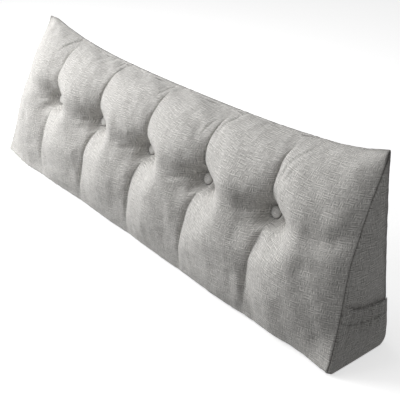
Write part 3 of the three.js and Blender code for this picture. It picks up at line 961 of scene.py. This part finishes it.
def linen(name, pale, dark, streak=1.0, relief=1.0):
    """Plain-woven linen-look cloth with slubs both ways; its UV map is in metres."""
    loom = Loom(name)
    place = loom.add("ShaderNodeUVMap", {"uv_map": "cloth"})
    drift = loom.add("ShaderNodeTexNoise", None, Vector=place, Scale=22.0, Detail=1.0)
    along = loom.add("ShaderNodeSeparateXYZ", None, place)
    upward = Yarn(loom, along.socket.node.outputs[1])
    wander = (drift - 0.5) * 0.003
    u = along + wander
    v = upward - wander

    def yarns(run, side, length, pitch, seed):
        """Each yarn of this pitch has its own tone, which changes slowly along it: about 0.5."""
        strand = (side * (1 / pitch)).floor()
        spot = loom.add("ShaderNodeCombineXYZ", None, run * (1 / length), strand * 7.31, seed)
        return loom.add("ShaderNodeTexNoise", None, Vector=spot, Scale=1.0, Detail=1.0)

    def thick_yarns(run, side, length, seed):
        """How much brighter a thick yarn is here than the two beside it."""
        here = yarns(run, side, length, SLUB_PITCH, seed)
        beside = yarns(run, side + SLUB_PITCH, length, SLUB_PITCH, seed)
        beside = beside + yarns(run, side - SLUB_PITCH, length, SLUB_PITCH, seed)
        return here - beside * 0.5

    weft = yarns(u, v, 0.016, YARN_PITCH, 3.1)
    warp = yarns(v, u, 0.014, YARN_PITCH, 7.7)
    weft_slub = thick_yarns(u, v, 0.021, 13.3)
    warp_slub = thick_yarns(v, u, 0.012, 17.9)
    fleck = loom.add("ShaderNodeTexNoise", None, Vector=place, Scale=260.0, Detail=1.0)
    cloud = loom.add("ShaderNodeTexNoise", None, Vector=place, Scale=9.0, Detail=2.0)

    step = math.pi / YARN_PITCH
    over = (u * step).sine() * (v * step).sine()
    weft_up = (over * 3.0 + 0.5).at_least(0.0).at_most(1.0)
    weave = weft * weft_up + warp * (1 - weft_up)
    round_weft = (v * step).sine() * (v * step).sine()
    round_warp = (u * step).sine() * (u * step).sine()
    crown = round_weft * weft_up + round_warp * (1 - weft_up)
    bright = (weft_slub - 0.1).at_least(0.0) + (warp_slub - 0.1).at_least(0.0)
    dim = (0.0 - weft_slub - 0.12).at_least(0.0) + (0.0 - warp_slub - 0.12).at_least(0.0)
    shade = (weave - 0.5) * (1.6 * streak) + (weft_slub + warp_slub) * (0.5 * streak)
    shade = shade + (bright * 3.0 - dim * 2.4) * streak
    shade = shade + (fleck - 0.5) * 0.5 + (cloud - 0.5) * 0.05
    share = (shade + (crown - 0.5) * 0.16 + 0.47).at_least(0.0).at_most(1.0)
    # Painted shade: the painted_shade attribute darkens the linen towards a third of its dark tone at
    # seams, button rims and pocket gathers
    seam = loom.add("ShaderNodeAttribute", {"attribute_name": "painted_shade"}, output=2)
    painted_shade_colour = [0.32 * tone for tone in dark]
    loom.feed("Base Color", loom.blend(seam * 0.8, loom.blend(share, dark, pale), painted_shade_colour))
    loom.feed("Roughness", 0.96 - share * 0.1)
    height = crown * 0.45 + weave * 0.8 + bright * 0.9
    bump = loom.add("ShaderNodeBump", None, Strength=0.55 * relief, Distance=0.0011, Height=height)
    loom.feed("Normal", bump)
    loom.feed("Sheen Weight", 0.12)
    loom.feed("Sheen Roughness", 0.5)
    loom.feed("Specular IOR Level", 0.18)
    return loom.material


def sewing_thread():
    loom = Loom("grey_thread")
    place = loom.add("ShaderNodeTexCoord", None, output=3)
    twist = loom.add("ShaderNodeTexNoise", None, Vector=place, Scale=900.0, Detail=1.0)
    loom.feed("Base Color", loom.blend(twist, (0.20, 0.195, 0.19), (0.38, 0.37, 0.36)))
    loom.feed("Roughness", 0.8)
    return loom.material


def dress(piece, material):
    piece.data.materials.clear()
    piece.data.materials.append(material)
    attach(piece, "root")


cover_cloth = linen("linen_cover", (0.80, 0.785, 0.755), (0.33, 0.32, 0.305))
# Painted light: the buttons get the cover's linen with a lighter dark tone, brightening their faces that
# sit in the dimples' shade
button_cloth = linen("linen_button", (0.80, 0.79, 0.765), (0.46, 0.45, 0.435), 0.7, 0.6)
# Painted shade: the pocket gets the cover's linen made darker, for the deeper shade low on the right end
pocket_cloth = linen("linen_pocket", (0.70, 0.685, 0.66), (0.27, 0.262, 0.25))
thread = sewing_thread()

cushion = make_cushion()
dress(cushion, cover_cloth)
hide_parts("cushion")

for number in range(len(BUTTONS["along"])):
    button = make_button(number)
    dress(button, button_cloth)
    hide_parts(f"button_{number + 1}")

pocket = make_pocket()
dress(pocket, pocket_cloth)
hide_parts("side_pocket")
stitches = make_stitches(thread)
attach(stitches, "root")


def make_floor():
    """A large pale floor under the pillow."""
    side, drop = 14, 0.0006
    mesh = bpy.data.meshes.new("pale_floor")
    corners = [(-side, -side, -drop), (side, -side, -drop), (side, side, -drop), (-side, side, -drop)]
    mesh.from_pydata(corners, [], [(0, 1, 2, 3)])
    floor = in_scene("pale_floor", mesh)
    loom = Loom("pale_paper")
    place = loom.add("ShaderNodeTexCoord", None, output=3)
    tint = loom.add("ShaderNodeTexNoise", None, Vector=place, Scale=0.7, Detail=2.0)
    loom.feed("Base Color", loom.blend(tint, (0.90, 0.90, 0.90), (0.93, 0.93, 0.93)))
    loom.feed("Roughness", 0.9)
    loom.feed("Emission Color", (1, 1, 1, 1))
    loom.feed("Emission Strength", 0.55)
    mesh.materials.append(loom.material)
    floor.visible_diffuse = False


def soft_light(name, place, aim, size, power):
    lamp = bpy.data.lights.new(name, "AREA")
    lamp.shape = "DISK"
    lamp.size = size
    lamp.energy = power
    stand = in_scene(name, lamp)
    stand.location = place
    stand.rotation_euler = (Vector(aim) - Vector(place)).to_track_quat("-Z", "Y").to_euler()


def make_studio():
    make_floor()
    world = bpy.data.worlds.new("studio")
    world.use_nodes = True
    tree = world.node_tree
    way = tree.nodes.new("ShaderNodeTexCoord")
    split = tree.nodes.new("ShaderNodeSeparateXYZ")
    rise = tree.nodes.new("ShaderNodeMapRange")
    for socket, value in (("From Min", -0.35), ("From Max", 0.5), ("To Min", 0.13), ("To Max", 0.30)):
        rise.inputs[socket].default_value = value
    tree.links.new(way.outputs["Generated"], split.inputs[0])
    tree.links.new(split.outputs["Z"], rise.inputs["Value"])
    tree.links.new(rise.outputs["Result"], tree.nodes["Background"].inputs["Strength"])
    tree.nodes["Background"].inputs["Color"].default_value = (1, 1, 1, 1)
    bpy.context.scene.world = world
    soft_light("key_light", (-1.95, -1.5, 1.3), (-0.2, 0, 0.25), 1.8, 65)
    soft_light("top_light", (-0.4, -0.2, 2.6), (0, 0, 0), 1.6, 13)
    soft_light("low_light", (-2.4, -1.5, 0.55), (-0.6, 0, 0.15), 1.2, 16)
    soft_light("front_light", (-0.7, -2.6, 1.1), (-0.2, 0, 0.25), 1.0, 7)
    bpy.context.scene.view_settings.view_transform = "Standard"


def make_camera():
    lens = bpy.data.cameras.new("photo_camera")
    lens.lens = 67.76
    lens.sensor_width = 36
    lens.shift_y = -0.2
    lens.clip_end = 60
    camera = in_scene("photo_camera", lens)
    turned = Matrix(((0.63196, -0.29143, 0.71811), (0.77458, 0.20723, -0.59756),
                     (0.02533, 0.93387, 0.35670))).to_4x4()
    turned.translation = Vector((1.60867, -1.17648, 1.10048))
    camera.matrix_world = turned
    bpy.context.scene.camera = camera


make_studio()
make_camera()
